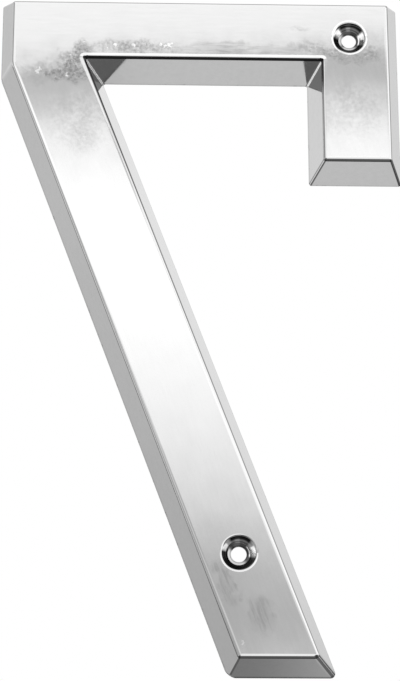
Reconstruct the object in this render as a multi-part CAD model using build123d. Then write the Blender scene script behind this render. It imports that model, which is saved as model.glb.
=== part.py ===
from build123d import *
import os
from math import atan, atan2, cos, degrees, radians, tan

# House number seven, one hollow casting with sloped sides and two countersunk screw holes.
# Millimetres and degrees. +X is to the right and +Z up seen from the front, and the front faces -Y.
# The wall is the plane Y = 0. The origin lies on it, at the middle of the foot's lower edge.

# Outline where it meets the wall
height = 152.0
width = 88.8
bar_height = 19.3
leg_width = 20.55
leg_length = 43.3
stroke_width = 21.25
heel_run = 49.8
elbow_drop = 18.6

# Section through the casting
thickness = 8.2
bevel_width = 2.9
rim_width = 2.1
front_wall = 1.85

# Rounding outside and in the hollow
face_edge_radius = 0.7
corner_radius = 0.65
toe_radius = 1.1
crook_radius = 0.45
elbow_radius = 5.0
heel_radius = 3.7
rim_edge_radius = 0.25
hollow_corner_radius = 1.2
hollow_root_radius = 1.0

# Holes for flat-headed wood screws, each a countersink with a flatter throat at its foot
hole_diameter = 3.2
throat_diameter = 4.6
throat_angle = 140.0
countersink_diameter = 7.2
countersink_angle = 90.0
countersink_lip_radius = 0.95
upper_hole_from_side = 11.5
upper_hole_from_top = 11.1
lower_hole_height = 24.4

# Sizes that follow from those
bevel_angle = degrees(atan(bevel_width / thickness))
elbow_height = height - elbow_drop
lean = atan2(heel_run, elbow_height)
left_edge = -heel_run - stroke_width / cos(lean) / 2
right_edge = left_edge + width
hollow_depth = thickness - front_wall
countersink_depth = (countersink_diameter - throat_diameter) / 2 / tan(radians(countersink_angle / 2))
throat_depth = (throat_diameter - hole_diameter) / 2 / tan(radians(throat_angle / 2))
upper_hole = (right_edge - upper_hole_from_side, height - upper_hole_from_top)

# Seen from the front, with its own Z out of the wall
wall = Plane(origin=(0, 0, 0), x_dir=(1, 0, 0), z_dir=(0, -1, 0))
front = wall.offset(thickness)


def stroke_left(z, inset=0.0):
    """X of the slanting stroke's left side at a height, with the side moved inwards by the inset."""
    return left_edge + (elbow_height - z) * tan(lean) + inset / cos(lean)


def stroke_right(z, inset=0.0):
    """X of the slanting stroke's right side at a height, with the side moved inwards by the inset."""
    return stroke_left(z, stroke_width - inset)


lower_hole = ((stroke_left(lower_hole_height) + stroke_right(lower_hole_height)) / 2, lower_hole_height)


def outline(inset=0.0):
    """Corners clockwise from the top left, with each side moved inwards by the inset."""
    left, right = left_edge + inset, right_edge - inset
    top, foot = height - inset, inset
    underside = height - bar_height + inset
    leg_left = right_edge - leg_width + inset
    leg_end = height - leg_length + inset
    elbow = elbow_height + inset * tan(lean / 2)
    return [
        (left, top),
        (right, top),
        (right, leg_end),
        (leg_left, leg_end),
        (leg_left, underside),
        (stroke_right(underside, inset), underside),
        (stroke_right(foot, inset), foot),
        (stroke_left(foot, inset), foot),
        (left, elbow),
    ]


def corner_radii(outer=0.0, crook=0.0, toe=0.0, heel=0.0, elbow=0.0):
    """A radius for each corner of the outline, in its order."""
    return [outer, outer, outer, outer, crook, crook, toe, heel, elbow]


def drafted_block(inset, depth):
    """Block on the outline, whose sides all slope as the numeral's own do."""
    block = extrude(wall * make_face(Polyline(*outline(inset), close=True)), amount=depth)
    return draft(block.faces().filter_by(Axis.Y, reverse=True), wall, bevel_angle)


def round_corners(block, inset, radii):
    """Round the sloping edge at each corner of a drafted block."""
    for radius in sorted(set(radii)):
        corners = [point for point, own in zip(outline(inset), radii) if own == radius]
        sloping = block.edges() - block.faces().filter_by(Axis.Y).edges()
        nearest = [sloping.sort_by_distance(wall.from_local_coords(corner))[0] for corner in corners]
        block = fillet(nearest, radius)
    return block


def body():
    """Outside of the casting: sloped sides, softened edges and a rounder heel."""
    block = drafted_block(0.0, thickness)
    radii = corner_radii(corner_radius, crook_radius, toe_radius, corner_radius, elbow_radius)
    block = round_corners(block, 0.0, radii)
    block = fillet(block.faces().sort_by(Axis.Y)[0].edges(), face_edge_radius)
    block = fillet(block.faces().sort_by(Axis.Y)[-1].edges(), rim_edge_radius)
    heel_outline = FilletPolyline(*outline(), radius=corner_radii(heel=heel_radius), close=True)
    return block & extrude(wall * make_face(heel_outline), amount=thickness)


def hollow():
    """Space behind the front wall, open to the wall of the house and with the outside's own slope."""
    block = drafted_block(rim_width, hollow_depth)
    inner = hollow_corner_radius
    radii = corner_radii(inner, crook_radius + rim_width, inner, inner, elbow_radius)
    block = round_corners(block, rim_width, radii)
    return fillet(block.faces().sort_by(Axis.Y)[0].edges(), hollow_root_radius)


def screw_hole(place):
    """Countersunk hole, as a solid to cut away."""
    mouth_down = (Align.CENTER, Align.CENTER, Align.MAX)
    countersink = Cone(throat_diameter / 2, countersink_diameter / 2, countersink_depth, align=mouth_down)
    throat = Cone(hole_diameter / 2, throat_diameter / 2, throat_depth, align=mouth_down)
    shank = Cylinder(hole_diameter / 2, thickness, align=mouth_down)
    return front * Pos(*place) * (countersink + Pos(0, 0, -countersink_depth) * throat + shank)


def numeral():
    """The whole casting."""
    casting = body() - hollow() - screw_hole(upper_hole) - screw_hole(lower_hole)
    lips = casting.faces().sort_by(Axis.Y)[0].inner_wires().edges()
    return fillet(lips, countersink_lip_radius)


os.makedirs("parts", exist_ok=True)
export_step(numeral(), "parts/numeral_seven.step")
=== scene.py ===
import math

import bpy
from mathutils import Matrix, Vector

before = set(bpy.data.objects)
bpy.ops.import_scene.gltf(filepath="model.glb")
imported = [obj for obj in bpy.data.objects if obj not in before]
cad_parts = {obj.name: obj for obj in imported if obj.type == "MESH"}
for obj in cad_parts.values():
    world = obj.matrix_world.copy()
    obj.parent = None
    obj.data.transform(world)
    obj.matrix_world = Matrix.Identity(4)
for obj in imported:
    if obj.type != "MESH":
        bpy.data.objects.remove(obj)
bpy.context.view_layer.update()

MM = 0.001

# Driving sizes of the casting in millimetres: its outline at the wall, and the run of its sloped sides
HEIGHT, WIDTH = 152.0, 88.8
BAR_HEIGHT, STROKE_WIDTH = 19.3, 21.25
LEG_WIDTH, LEG_LENGTH = 20.55, 43.3
HEEL_RUN, ELBOW_HEIGHT = 49.8, 133.4
THICKNESS, BEVEL = 8.2, 2.9
UPPER_HOLE_FROM_SIDE, UPPER_HOLE_FROM_TOP, LOWER_HOLE_HEIGHT = 11.5, 11.1, 24.4
CONE_FOOT, CONE_MOUTH = 2.3, 3.6

LEAN = math.atan2(HEEL_RUN, ELBOW_HEIGHT)
WALL_LEFT = -HEEL_RUN - STROKE_WIDTH / math.cos(LEAN) / 2
WALL_RIGHT = WALL_LEFT + WIDTH


def stroke_line(z, inset):
    """X of a line along the stroke at a height, from how far in it lies from the stroke's left side."""
    return WALL_LEFT + (ELBOW_HEIGHT - z) * math.tan(LEAN) + inset / math.cos(LEAN)


# Front of the casting, where its sharp edges would meet
FRONT = -THICKNESS
LEFT, RIGHT = WALL_LEFT + BEVEL, WALL_RIGHT - BEVEL
TOP, FOOT = HEIGHT - BEVEL, BEVEL
UNDERSIDE = HEIGHT - BAR_HEIGHT + BEVEL
LEG_LEFT, LEG_END = WALL_RIGHT - LEG_WIDTH + BEVEL, HEIGHT - LEG_LENGTH + BEVEL
BAY_LEFT = stroke_line(UNDERSIDE, STROKE_WIDTH - BEVEL)
STROKE_LEFT_FOOT = stroke_line(FOOT, BEVEL)
STROKE_RIGHT_FOOT = stroke_line(FOOT, STROKE_WIDTH - BEVEL)
ELBOW = ELBOW_HEIGHT + BEVEL * math.tan(LEAN / 2)

# Corners clockwise from the top left, each with how far the polish has rolled off the side that follows
OUTLINE = [
    (LEFT, TOP, 0.35), (RIGHT, TOP, 0.4), (RIGHT, LEG_END, 0.35), (LEG_LEFT, LEG_END, 0.3),
    (LEG_LEFT, UNDERSIDE, 0.6), (BAY_LEFT, UNDERSIDE, 0.35), (STROKE_RIGHT_FOOT, FOOT, 0.3),
    (STROKE_LEFT_FOOT, FOOT, 0.3), (LEFT, ELBOW, 0.3),
]
LEG_SIDE, BAY_TOP, STROKE_SIDE = 3, 4, 5

# Rolled edges: width near the bay's corners, how far in the casting's own rounding ends, and steepest slope
BAY_ROLL = 0.6
ROUNDED = 0.45
ROLL_SLOPE = 0.06

# Screw holes: middle, the directions in degrees from level of the cone's painted bright sectors, how far in
# the left one reaches, and how much flatter than a circle the painted dark cone looks
HOLES = [
    {"middle": (WALL_RIGHT - UPPER_HOLE_FROM_SIDE, HEIGHT - UPPER_HOLE_FROM_TOP),
     "left_turn": 152.0, "right_turn": 3.0, "left_reach": 2.2, "flatter": 1.06},
    {"middle": (stroke_line(LOWER_HOLE_HEIGHT, STROKE_WIDTH / 2), LOWER_HOLE_HEIGHT),
     "left_turn": 147.0, "right_turn": 15.0, "left_reach": 2.6, "flatter": 1.0},
]

# Tarnished patches: centre, half size, turn in degrees and strength
TARNISH = [
    ((-43.4, 136.7), (3.6, 2.5), 40.0, 1.5), ((-44.3, 133.0), (3.5, 3.8), 0.0, 1.3),
    ((-46.0, 135.0), (3.6, 2.6), 35.0, 0.8), ((-48.2, 131.6), (3.0, 2.2), 15.0, 1.25),
    ((-50.5, 132.2), (6.0, 3.0), 10.0, 0.4), ((-31.6, 138.3), (11.0, 1.8), 0.0, 0.9),
    ((12.4, 137.0), (4.2, 1.8), 0.0, 0.8), ((20.0, 137.0), (3.8, 1.8), 0.0, 0.75),
    ((16.6, 135.8), (7.5, 1.3), 0.0, 0.5), ((7.0, 138.4), (4.5, 1.8), 0.0, 0.5),
    ((5.5, 143.3), (2.2, 0.7), 0.0, 0.35), ((-42.8, 116.3), (4.2, 4.2), 0.0, 0.3),
]

# Patches where the front is slightly uneven: centre and half size
UNEVEN = [((16.5, 122.5), (8.0, 8.5)), ((-43.0, 119.5), (8.0, 9.0))]

# Painted glints on nicks: place and half size
NICK_GLINTS = [
    (-52.6, 132.1, 0.5), (-52.1, 132.6, 0.35), (-46.2, 131.4, 0.4), (-35.6, 138.6, 0.4), (-31.6, 138.7, 0.35),
    (-25.6, 138.9, 0.4), (-24.7, 138.4, 0.35), (-23.7, 138.6, 0.5), (-23.2, 139.2, 0.25), (-8.5, 6.0, 0.35),
]

# Dull drawn streaks: centre, half size and turn in degrees
SMUDGES = [
    ((-12.0, 18.4), (5.4, 2.0), -72.0), ((-4.6, 11.6), (4.4, 3.0), -70.0), ((-10.0, 137.8), (15.0, 1.9), 0.0),
]

# Rings of soft boxes round the part: degrees from level in front, where 90 is straight up, and brightness
FRONT_LIGHT = [
    (-180, 0.6), (-145, 0.3), (-127, 0.19), (-122, 0.62), (-112, 0.66), (-109.5, 0.3), (-106.5, 0.27),
    (-101, 0.3), (-60, 0.8), (-20, 1.05), (6, 1.1), (9.5, 0.8), (10.9, 0.54), (11.9, 0.53), (13.1, 0.69),
    (14.4, 0.88), (16, 1.08), (18.4, 1.26), (20, 1.36), (23.3, 1.34), (23.9, 1.16), (24.5, 0.93),
    (25.1, 0.62), (25.6, 0.44), (25.95, 0.43), (26.4, 0.5), (95, 0.6), (104, 0.35), (128, 0.35),
    (138, 0.9), (156, 0.9), (168, 0.6),
]
RIGHT_LIGHT = [
    (-180, 0.1), (-150, 0.12), (-135, 0.14), (-95, 0.16), (-90, 0.3), (-10, 0.3), (-4, 1.25), (48, 1.25),
    (60, 0.36), (118, 0.36), (135, 0.72), (152, 0.74), (156, 0.72), (160, 0.66), (165, 0.6), (172, 0.3),
    (178, 0.1), (180, 0.1),
]
LEFT_LIGHT = [
    (-180, 0.53), (-170, 0.47), (-150, 0.5), (-130, 0.62), (-118, 0.5), (-108, 0.3), (-95, 0.1),
    (-60, 0.3), (-20, 0.45), (21, 0.5), (28, 0.35), (115, 0.34), (140, 0.78), (152, 0.78), (163, 0.58),
    (172, 0.6), (180, 0.55),
]
BRIGHTEST = 1.5
BIG_BOX, SIDE_STRIP, BACK_STRIP = 1.16, 0.9, 1.25

# Plating: how much light the clean metal throws back
PLATE = 0.78


class Value:
    """One output of a node, which takes part in sums as a number would."""

    def __init__(self, sheet, socket):
        self.sheet, self.socket = sheet, socket

    def __add__(self, other):
        return self.sheet.calc("ADD", self, other)

    def __radd__(self, other):
        return self.sheet.calc("ADD", other, self)

    def __sub__(self, other):
        return self.sheet.calc("SUBTRACT", self, other)

    def __rsub__(self, other):
        return self.sheet.calc("SUBTRACT", other, self)

    def __mul__(self, other):
        return self.sheet.calc("MULTIPLY", self, other)

    def __rmul__(self, other):
        return self.sheet.calc("MULTIPLY", other, self)

    def __truediv__(self, other):
        return self.sheet.calc("DIVIDE", self, other)

    def __neg__(self):
        return self.sheet.calc("MULTIPLY", self, -1.0)

    def __pow__(self, other):
        return self.sheet.calc("POWER", self, other)


class Sheet:
    """The nodes of one finish or of the studio round the part."""

    def __init__(self, tree):
        self.tree = tree
        tree.nodes.clear()

    def node(self, kind, settings=None, sockets=None, output=0):
        """Add a node: its settings first, then the values or links of its sockets."""
        node = self.tree.nodes.new(kind)
        for name, setting in (settings or {}).items():
            if name == "stops":
                self.set_stops(node.color_ramp, setting)
            else:
                setattr(node, name, setting)
        for name, value in (sockets or {}).items():
            if isinstance(value, Value):
                self.tree.links.new(value.socket, node.inputs[name])
            else:
                node.inputs[name].default_value = value
        return Value(self, node.outputs[output]) if node.outputs else node

    @staticmethod
    def set_stops(ramp, stops):
        """Put the stops of a grey ramp in place, from pairs of position and brightness."""
        while len(ramp.elements) < len(stops):
            ramp.elements.new(1.0)
        for element, (place, level) in zip(ramp.elements, stops):
            element.position = place
        for element, (place, level) in zip(ramp.elements, stops):
            element.color = (level, level, level, 1.0)

    def calc(self, operation, *terms):
        """A sum on numbers."""
        return self.node("ShaderNodeMath", {"operation": operation}, dict(enumerate(terms)))

    def fade(self, value, start, end):
        """0 before the start, 1 after the end and a smooth rise between them."""
        return self.node("ShaderNodeMapRange", {"interpolation_type": "SMOOTHSTEP"},
                         {"Value": value, "From Min": start, "From Max": end})

    def fall(self, value, start, end):
        """1 before the start, 0 after the end and a smooth fall between them."""
        return 1.0 - self.fade(value, start, end)

    def between(self, value, start, full, waning, end):
        """1 from the full place to the waning one, falling smoothly to 0 at the start and at the end."""
        return self.fade(value, start, full) * self.fall(value, waning, end)

    def blend(self, first, second, share):
        """Number that goes from the first to the second as the share goes from 0 to 1."""
        return first + (second - first) * share

    def vector(self, operation, first, second=None, scale=None):
        """Sum on two vectors, or one vector and a scale."""
        sockets = {0: first}
        if second is not None:
            sockets[1] = second
        if scale is not None:
            sockets["Scale"] = scale
        return self.node("ShaderNodeVectorMath", {"operation": operation}, sockets)

    def parts(self, vector):
        """The three parts of a vector."""
        split = self.node("ShaderNodeSeparateXYZ", {}, {0: vector})
        return [Value(self, socket) for socket in split.socket.node.outputs]

    def join(self, x, y, z):
        """A vector of three parts."""
        return self.node("ShaderNodeCombineXYZ", {}, {0: x, 1: y, 2: z})


class Surface:
    """A place on the casting in millimetres, the way it faces, and whether it is front, rim or hollow."""

    def __init__(self, sheet):
        self.place = sheet.vector("SCALE", sheet.node("ShaderNodeTexCoord", output="Object"), scale=1 / MM)
        self.normal = sheet.node("ShaderNodeNewGeometry", output="Normal")
        self.x, self.y, self.z = sheet.parts(self.place)
        self.facing_x, self.facing_y, self.facing_z = sheet.parts(self.normal)
        self.front = sheet.fall(self.y, FRONT, FRONT + 0.12)
        self.behind = sheet.fade(self.facing_y, 0.1, 0.3)
        self.rim = self.behind * sheet.fade(self.y, -0.1, -0.02)
        self.hollow = self.behind - self.rim


def make_camera():
    """Camera low in front of the numeral, looking up at it, as in the photograph."""
    place = Vector((-29.8, -439.67, -75.89)) * MM
    azimuth, elevation, roll = math.radians(-1.695), math.radians(-18.673), math.radians(-0.083)
    back = Vector((
        math.sin(azimuth) * math.cos(elevation),
        -math.cos(azimuth) * math.cos(elevation),
        math.sin(elevation),
    ))
    level = Vector((0, 0, 1)).cross(back).normalized()
    upright = back.cross(level)
    right = level * math.cos(roll) + upright * math.sin(roll)
    up = upright * math.cos(roll) - level * math.sin(roll)
    data = bpy.data.cameras.new("camera")
    data.lens = 114.424
    data.sensor_width = 36.0
    data.clip_start, data.clip_end = 0.01, 20.0
    camera = bpy.data.objects.new("camera", data)
    bpy.context.scene.collection.objects.link(camera)
    turn = Matrix((right, up, back)).transposed().to_4x4()
    camera.matrix_world = Matrix.Translation(place) @ turn
    bpy.context.scene.camera = camera


def light_ring(sheet, turn, stops):
    """Brightness of a ring of boxes, from the share of a full turn and the ring's stops."""
    places = [((degrees + 180.0) / 360.0, level / BRIGHTEST) for degrees, level in stops]
    return sheet.node("ShaderNodeValToRGB", {"stops": places}, {0: turn}) * BRIGHTEST


def front_boxes(sheet, x, pitch, turn):
    """Boxes under, before and over the front. The big one starts above a dark gap."""
    light = light_ring(sheet, turn, FRONT_LIGHT)
    # The gap ends lower on the left, and the big box has a sharper edge over both ends of the bar
    gap_top = 26.18 + 1.6 * x - 8.0 * sheet.calc("MAXIMUM", -0.03 - x, 0.0)
    gap_top = gap_top + 0.28 * sheet.fade(x, 0.055, 0.095)
    sharp = 1.0 + 3.5 * sheet.fade(-x, 0.03, 0.05) + 0.7 * sheet.fade(x, 0.08, 0.1)
    over = sheet.fade((pitch - gap_top) * sharp, -0.3, 0.3) * sheet.fall(pitch, 70.0, 95.0)
    light = sheet.blend(light, BIG_BOX, over)
    # The box below is brighter towards the right, and the boxes before the front dimmer on the left
    glow = sheet.between(x, 0.045, 0.105, 0.16, 0.3) * sheet.fall(pitch, -127.0, -123.0)
    light = light + 0.22 * glow
    light = light * (1.0 - 0.5 * sheet.fade(-x, 0.0, 0.06) * sheet.fall(pitch, 3.0, 8.0))
    low_left = sheet.fall(x, 0.034, 0.062) * sheet.between(pitch, -20.0, 0.0, 13.0, 14.2)
    return light * (1.0 - 0.12 * low_left)


def right_boxes(sheet, x, pitch, turn):
    """Boxes on the right, dimmer overhead, with strips at the far end for the cones and the bay's mitre."""
    light = light_ring(sheet, turn, RIGHT_LIGHT)
    overhead = sheet.between(pitch, 52.0, 62.0, 120.0, 133.0) * sheet.fall(x, 0.7, 0.78)
    side_strip = sheet.between(pitch, -100.0, -88.0, -12.0, -6.0) * sheet.fade(x, 0.88, 0.91)
    back_strip = sheet.between(pitch, -156.0, -144.0, -125.0, -115.0) * sheet.fade(x, 0.84, 0.88)
    return light * (1.0 - 0.5 * overhead) + SIDE_STRIP * side_strip + BACK_STRIP * back_strip


def left_boxes(sheet, x, pitch, turn):
    """Boxes on the left, dimmer overhead, with strips at the far end for the cones and the bay's mitre."""
    light = light_ring(sheet, turn, LEFT_LIGHT)
    overhead = sheet.fade(pitch, 100.0, 120.0) * sheet.fall(-x, 0.54, 0.62)
    far_end = sheet.fade(0.16 * sheet.fade(pitch, 60.0, 88.0) - x, 0.925, 0.945)
    side_strip = far_end * sheet.between(pitch, -75.0, -55.0, 88.0, 96.0)
    low_strip = sheet.between(pitch, -135.0, -125.0, -105.0, -98.0) * sheet.fade(-x, 0.72, 0.8)
    return light * (1.0 - 0.2 * overhead) + SIDE_STRIP * side_strip + SIDE_STRIP * low_strip


def make_studio():
    """Soft boxes all round for reflections, and plain white light for the rest."""
    world = bpy.data.worlds.new("studio")
    bpy.context.scene.world = world
    world.use_nodes = True
    sheet = Sheet(world.node_tree)
    x, y, z = sheet.parts(sheet.node("ShaderNodeTexCoord"))
    pitch = sheet.calc("ARCTAN2", z, -y) * (180 / math.pi)
    # The boxes hang a little askew, so their edges climb towards the right
    askew = sheet.fade(pitch, 21.0, 23.0) * 2.9 * (x + 0.03)
    turn = (pitch - askew) / 360 + 0.5
    to_right = sheet.fade(x, 0.3, 0.48)
    to_left = sheet.fade(0.27 * sheet.fade(pitch, 95.0, 105.0) - x, 0.5, 0.72)
    boxes = sheet.blend(front_boxes(sheet, x, pitch, turn), right_boxes(sheet, x, pitch, turn), to_right)
    boxes = sheet.blend(boxes, left_boxes(sheet, x, pitch, turn), to_left)
    glossy = sheet.node("ShaderNodeLightPath", output="Is Glossy Ray")
    light = sheet.blend(1.0, boxes, glossy)
    background = sheet.node("ShaderNodeBackground", {}, {"Color": light, "Strength": 1.0})
    sheet.node("ShaderNodeOutputWorld", {}, {0: background})


def make_floor():
    """Plain pale floor, low enough to stay under the camera."""
    bpy.ops.mesh.primitive_plane_add(size=6.0, location=(0, 0, -0.16))
    floor = bpy.context.object
    floor.name = "floor"
    material = bpy.data.materials.new("pale_floor")
    material.use_nodes = True
    shader = material.node_tree.nodes["Principled BSDF"]
    shader.inputs["Base Color"].default_value = (0.8, 0.8, 0.79, 1)
    shader.inputs["Roughness"].default_value = 0.7
    floor.data.materials.append(material)
    floor.visible_glossy = False


def noise(sheet, place, scale, detail=3.0, roughness=0.5, shift=None):
    """Soft noise between 0 and 1, with a mean of a half, from a place in millimetres."""
    if shift:
        place = sheet.vector("ADD", place, shift)
    return sheet.node("ShaderNodeTexNoise", {"noise_dimensions": "3D"},
                      {"Vector": place, "Scale": scale, "Detail": detail, "Roughness": roughness})


def spot(sheet, x, z, centre, size, turn=0.0):
    """1 in the middle of an oval patch, falling softly to 0 round it. The turn is in degrees."""
    c, s = math.cos(math.radians(turn)), math.sin(math.radians(turn))
    across = ((x - centre[0]) * c + (z - centre[1]) * s) / size[0]
    up = ((z - centre[1]) * c - (x - centre[0]) * s) / size[1]
    return sheet.fall(across * across + up * up, 0.0, 1.4)


def edges(sheet, x, z):
    """Slope left by polishing along the front's edges, its share of the full slope, and the painted shade of
    the bay's fold.
    """
    nearest, out_x, out_z, painted_fold_shade = 1000.0, 0.0, 0.0, 0.0
    for side, (start, end) in enumerate(zip(OUTLINE, OUTLINE[1:] + OUTLINE[:1])):
        run, rise = end[0] - start[0], end[1] - start[1]
        length = math.hypot(run, rise)
        run, rise = run / length, rise / length
        from_x, from_z = x - start[0], z - start[1]
        along = sheet.calc("MAXIMUM", sheet.calc("MINIMUM", from_x * run + from_z * rise, length), 0.0)
        from_x, from_z = from_x - along * run, from_z - along * rise
        far = (from_x * from_x + from_z * from_z) ** 0.5

        width = start[2]
        if side in (BAY_TOP, STROKE_SIDE):
            width = sheet.blend(BAY_ROLL, width, sheet.fade(along, 0.0, 10.0))
        if side in (LEG_SIDE, BAY_TOP):
            width = sheet.blend(BAY_ROLL, width, sheet.fade(length - along, 0.0, 6.0))
        share = (far - ROUNDED) / width
        closer = sheet.calc("LESS_THAN", share, nearest)
        nearest = sheet.calc("MINIMUM", share, nearest)
        out_x = sheet.blend(out_x, -from_x / far, closer)
        out_z = sheet.blend(out_z, -from_z / far, closer)

        # Painted shade in the folds along the bay's top, the stroke's side and the leg's side
        dark = 0.0
        if side == BAY_TOP:
            dark = 0.98
        if side == STROKE_SIDE:
            dark = 0.98 - 0.98 * sheet.fade(along, -8.0, 44.0)
        if side == LEG_SIDE:
            dark = 0.9 - 0.6 * sheet.fade(length - along, 4.0, 9.0)
        if dark:
            painted_fold_shade = sheet.calc("MAXIMUM", painted_fold_shade, dark * sheet.fall(far, 0.32, 0.4))
    rolled = sheet.fall(nearest, 0.7, 1.3)
    return out_x * rolled * ROLL_SLOPE, out_z * rolled * ROLL_SLOPE, rolled, painted_fold_shade


def front_tone(sheet, x, z, place):
    """Brightness of the front's plating, with tarnish, painted glints on specks and nicks, and drawn streaks,
    and how uneven it is.
    """
    cloud = noise(sheet, place, 1.35, 4.0, 0.6)
    fleck = noise(sheet, place, 2.0, 2.0, shift=(40.0, 0.0, 7.0))
    ragged_x = x + 6.0 * (noise(sheet, place, 0.4) - 0.5)
    ragged_z = z + 4.0 * (noise(sheet, place, 0.4, shift=(9.0, 0.0, 30.0)) - 0.5)
    marks = 0.0
    for centre, size, turn, strength in TARNISH:
        marks = sheet.calc("MAXIMUM", marks, strength * spot(sheet, ragged_x, ragged_z, centre, size, turn))
    stain = 0.18 * marks + 0.22 * sheet.calc("MINIMUM", marks, 1.1) * sheet.fade(cloud, 0.4, 0.64)
    # Painted glints on specks in the tarnish and on the nicks
    glint = marks * sheet.fade(fleck, 0.7, 0.76) * 0.6
    rough_x = x + 1.8 * (cloud - 0.5)
    rough_z = z + 1.8 * (fleck - 0.5)
    for nick_x, nick_z, size in NICK_GLINTS:
        glint = glint + 0.7 * spot(sheet, rough_x, rough_z, (nick_x, nick_z), (size, size))

    # Drawn streaks run level on the bar and along the stroke further down
    lean_x, lean_z = math.cos(LEAN), math.sin(LEAN)
    across = x * lean_x + z * lean_z
    along = z * lean_x - x * lean_z
    stroke_grain = noise(sheet, sheet.join(across * 1.2, 0.0, along * 0.16), 1.0, 4.0, 0.6)
    bar_grain = noise(sheet, sheet.join(x * 0.16, 3.0, z * 1.3), 1.0, 4.0, 0.6)
    grain = sheet.blend(stroke_grain, bar_grain, sheet.fade(z, UNDERSIDE - 1.5, UNDERSIDE + 1.0))
    smudge = 0.0
    for centre, size, turn in SMUDGES:
        smudge = sheet.calc("MAXIMUM", smudge, spot(sheet, ragged_x, ragged_z, centre, size, turn))
    worn = 0.05 + 0.07 * sheet.fall(z, 20.0, 55.0) + 0.05 * sheet.fade(z, 105.0, 120.0)
    streaks = (grain - 0.5) * worn - smudge * (0.07 + 0.2 * sheet.fade(grain, 0.42, 0.6))

    uneven = marks
    for centre, size in UNEVEN:
        uneven = sheet.calc("MAXIMUM", uneven, 0.4 * spot(sheet, x, z, centre, size))
    return 1.0 - stain + glint + streaks, uneven


def sector(sheet, off, turn, edge, full):
    """1 towards a direction from a hole's middle, from the half angles of its edge and of its full part."""
    off_x, off_z, far = off
    c, s = math.cos(math.radians(turn)), math.sin(math.radians(turn))
    towards = (off_x * c + off_z * s) / far
    return sheet.fade(towards, math.cos(math.radians(edge)), math.cos(math.radians(full)))


def hole_painted_reflection(sheet, x, z):
    """Painted reflections inside the screw holes, and where they are: dark cones, bright sectors and paler
    throats, all painted.
    """
    level, inside = 0.0, 0.0
    for hole in HOLES:
        off_x, off_z = x - hole["middle"][0], z - hole["middle"][1]
        far = (off_x * off_x + off_z * off_z) ** 0.5
        off = (off_x, off_z, far)
        ring = sheet.calc("SINE", far * 14.0)
        upper = sector(sheet, off, 90.0, 75.0, 35.0) * sheet.fall(far, 2.95, 3.15)
        left = sector(sheet, off, hole["left_turn"], 28.0, 13.0)
        left = left * sheet.fade(far, hole["left_reach"], hole["left_reach"] + 0.25)
        right = sector(sheet, off, hole["right_turn"], 36.0, 20.0)
        lower = sector(sheet, off, -45.0, 50.0, 20.0)
        cone = 0.02 + 0.38 * upper + 0.08 * lower + (0.02 + 0.14 * upper) * ring + left + right
        line = sheet.between(far, 1.7, 1.76, 1.84, 1.92)
        throat = (0.12 + 0.6 * sector(sheet, off, 225.0, 100.0, 60.0)) * (1.0 - 0.5 * line)
        throat = throat + 1.2 * right * sheet.fade(far, 2.0, 2.2)
        squeezed = (off_x * off_x + off_z * off_z * hole["flatter"] ** 2) ** 0.5
        here = sheet.fall(squeezed, CONE_MOUTH - 0.1, CONE_MOUTH + 0.08)
        in_cone = sheet.fade(far, CONE_FOOT - 0.02, CONE_FOOT + 0.08)
        level = level + here * sheet.blend(throat, cone, in_cone)
        inside = inside + here
    return level, inside


def lip_painted_highlight(sheet, x, z):
    """1 on the upper hole's lip, a painted highlight ring a little taller than wide, with a fine painted dark
    line above.
    """
    hole_x, hole_z = HOLES[0]["middle"]
    off_x, off_z = x - hole_x, (z - hole_z - 0.2) * 0.94
    far = (off_x * off_x + off_z * off_z) ** 0.5
    line = sheet.between(far, 3.4, 3.5, 3.6, 3.7) * sheet.fade(off_z / far, 0.5, 0.8)
    return sheet.fall(far, 3.88, 4.08) * (1.0 - 1.6 * line)


def edge_painted_shade(sheet, at, painted_fold_shade):
    """Painted shade where an edge turns down from the front, along the bay and behind the top edge."""
    turned = sheet.fade(-at.facing_z, 0.17, 0.27) * sheet.fade(-at.facing_y, 0.34, 0.44)
    sideways = sheet.fade(at.facing_x * at.facing_x, 0.06, 0.25)
    low = sheet.fall(at.z, 6.0, 34.0)
    turned = turned * (0.86 + 0.12 * sheet.fade(at.z, 122.0, 130.0)) * (1.0 - (0.42 - 0.3 * low) * sideways)
    dark = sheet.calc("MAXIMUM", turned, painted_fold_shade)
    dark = sheet.calc("MAXIMUM", dark, 0.42 * sheet.fade(at.facing_z, 0.4, 0.6))
    return dark * sheet.fall(at.y, FRONT + 0.42, FRONT + 0.56)


def wall_edge_pits_and_foot_shade(sheet, at):
    """Darker line with pits along the edge that meets the wall, strongest on the foot, where painted shade is
    added.
    """
    steep = at.facing_z * at.facing_z * 0.45
    by_wall = sheet.fade(at.y - steep, -1.15, -0.7) * sheet.fall(at.facing_y, 0.2, 0.5)
    on_foot = sheet.fade(-at.facing_z, 0.5, 0.8) * sheet.fall(at.z, 3.0, 10.0)
    pits = sheet.fade(noise(sheet, at.place, 0.9, 2.0), 0.6, 0.68)
    line = 1.0 - by_wall * (0.12 + 0.2 * on_foot + 0.25 * pits)
    return line * (1.0 - 0.5 * on_foot * sheet.fade(at.y, -1.1, -0.6))


def leg_end_painted_shade(sheet, at):
    """Painted shade on the mitres at the leg's end, the right one most."""
    leg_end = sheet.fade(at.x, 5.0, 8.0) * (1.0 - at.behind)
    leg_end = leg_end * sheet.between(at.z, 60.0, 70.0, 114.0, 118.0)
    left_mitre = 0.3 * sheet.fade(at.facing_x * at.facing_z, 0.05, 0.2)
    right_mitre = 0.6 * sheet.fade(-at.facing_x * at.facing_z, 0.05, 0.2)
    return 1.0 - leg_end * (left_mitre + right_mitre)


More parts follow.
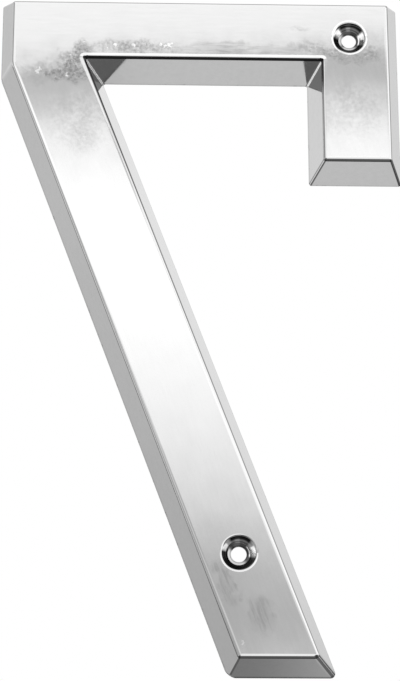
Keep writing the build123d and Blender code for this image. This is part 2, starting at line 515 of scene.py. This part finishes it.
def bent_normal(sheet, at, roll_x, roll_z, uneven):
    """The way the surface faces, tilted by rolled edges, ripples on the front and grit in the hollow."""
    wave = noise(sheet, at.place, 0.22, 1.0, 0.4) - 0.5
    ripple = noise(sheet, at.place, 1.3, 2.0, shift=(0.0, 0.0, 90.0)) - 0.5
    grit_x = noise(sheet, at.place, 1.8, 3.0, 0.6, (5.0, 0.0, 0.0)) - 0.5
    grit_z = noise(sheet, at.place, 1.8, 3.0, 0.6, (0.0, 0.0, 55.0)) - 0.5
    roll_z = roll_z + wave * 0.006 + ripple * (0.002 + 0.02 * uneven)
    tilt_x = at.front * roll_x + at.hollow * grit_x * 0.35
    tilt_z = at.front * roll_z + at.hollow * grit_z * 0.35
    return sheet.vector("NORMALIZE", sheet.vector("ADD", at.normal, sheet.join(tilt_x, 0.0, tilt_z)))


def make_plating():
    """Satin plating: softly mottled on the front, mirror-like on the sloped sides, rougher in the hollow,
    with painted shade, highlights and reflections at edges and holes.
    """
    material = bpy.data.materials["satin_plate"]
    material.use_nodes = True
    sheet = Sheet(material.node_tree)
    at = Surface(sheet)
    face, uneven = front_tone(sheet, at.x, at.z, at.place)
    roll_x, roll_z, rolled, painted_fold_shade = edges(sheet, at.x, at.z)
    # Rolled edges are clean of tarnish, and the upper hole's lip carries a painted highlight ring
    face = sheet.blend(face, 1.0, 0.8 * rolled) * (1.0 + 0.3 * lip_painted_highlight(sheet, at.x, at.z))
    # Painted reflections in the screw holes: dark cones, bright sectors and paler throats
    hole, in_hole = hole_painted_reflection(sheet, at.x, at.z)
    in_hole = in_hole * (1.0 - at.behind)
    mottle = noise(sheet, at.place, 0.8, 4.0, 0.6, (0.0, 20.0, 3.0)) - 0.5

    tone = sheet.blend(1.0 + 0.12 * mottle, face, at.front)
    tone = tone * (1.0 - at.hollow * (0.14 - 0.5 * mottle))
    tone = tone * sheet.blend(1.0, hole, in_hole)
    # Painted shade along the front's turned-down edges and folds
    tone = tone * (1.0 - edge_painted_shade(sheet, at, painted_fold_shade) * (1.0 - in_hole))
    # Darker wall edge with pits, painted shade on the foot, and painted shade on the leg end's mitres
    tone = tone * wall_edge_pits_and_foot_shade(sheet, at) * leg_end_painted_shade(sheet, at)
    tone = sheet.calc("MINIMUM", tone * PLATE, 1.0)
    roughness = sheet.blend(0.08, 0.06, at.front) + in_hole * 0.08 + at.hollow * 0.3 + at.rim * 0.16
    shader = sheet.node("ShaderNodeBsdfPrincipled", {}, {
        "Base Color": sheet.join(tone, tone, tone), "Metallic": 1.0, "Roughness": roughness,
        "Normal": bent_normal(sheet, at, roll_x, roll_z, uneven)})
    sheet.node("ShaderNodeOutputMaterial", {}, {0: shader})


make_camera()
make_studio()
make_floor()
make_plating()
bpy.context.scene.view_settings.view_transform = "Standard"
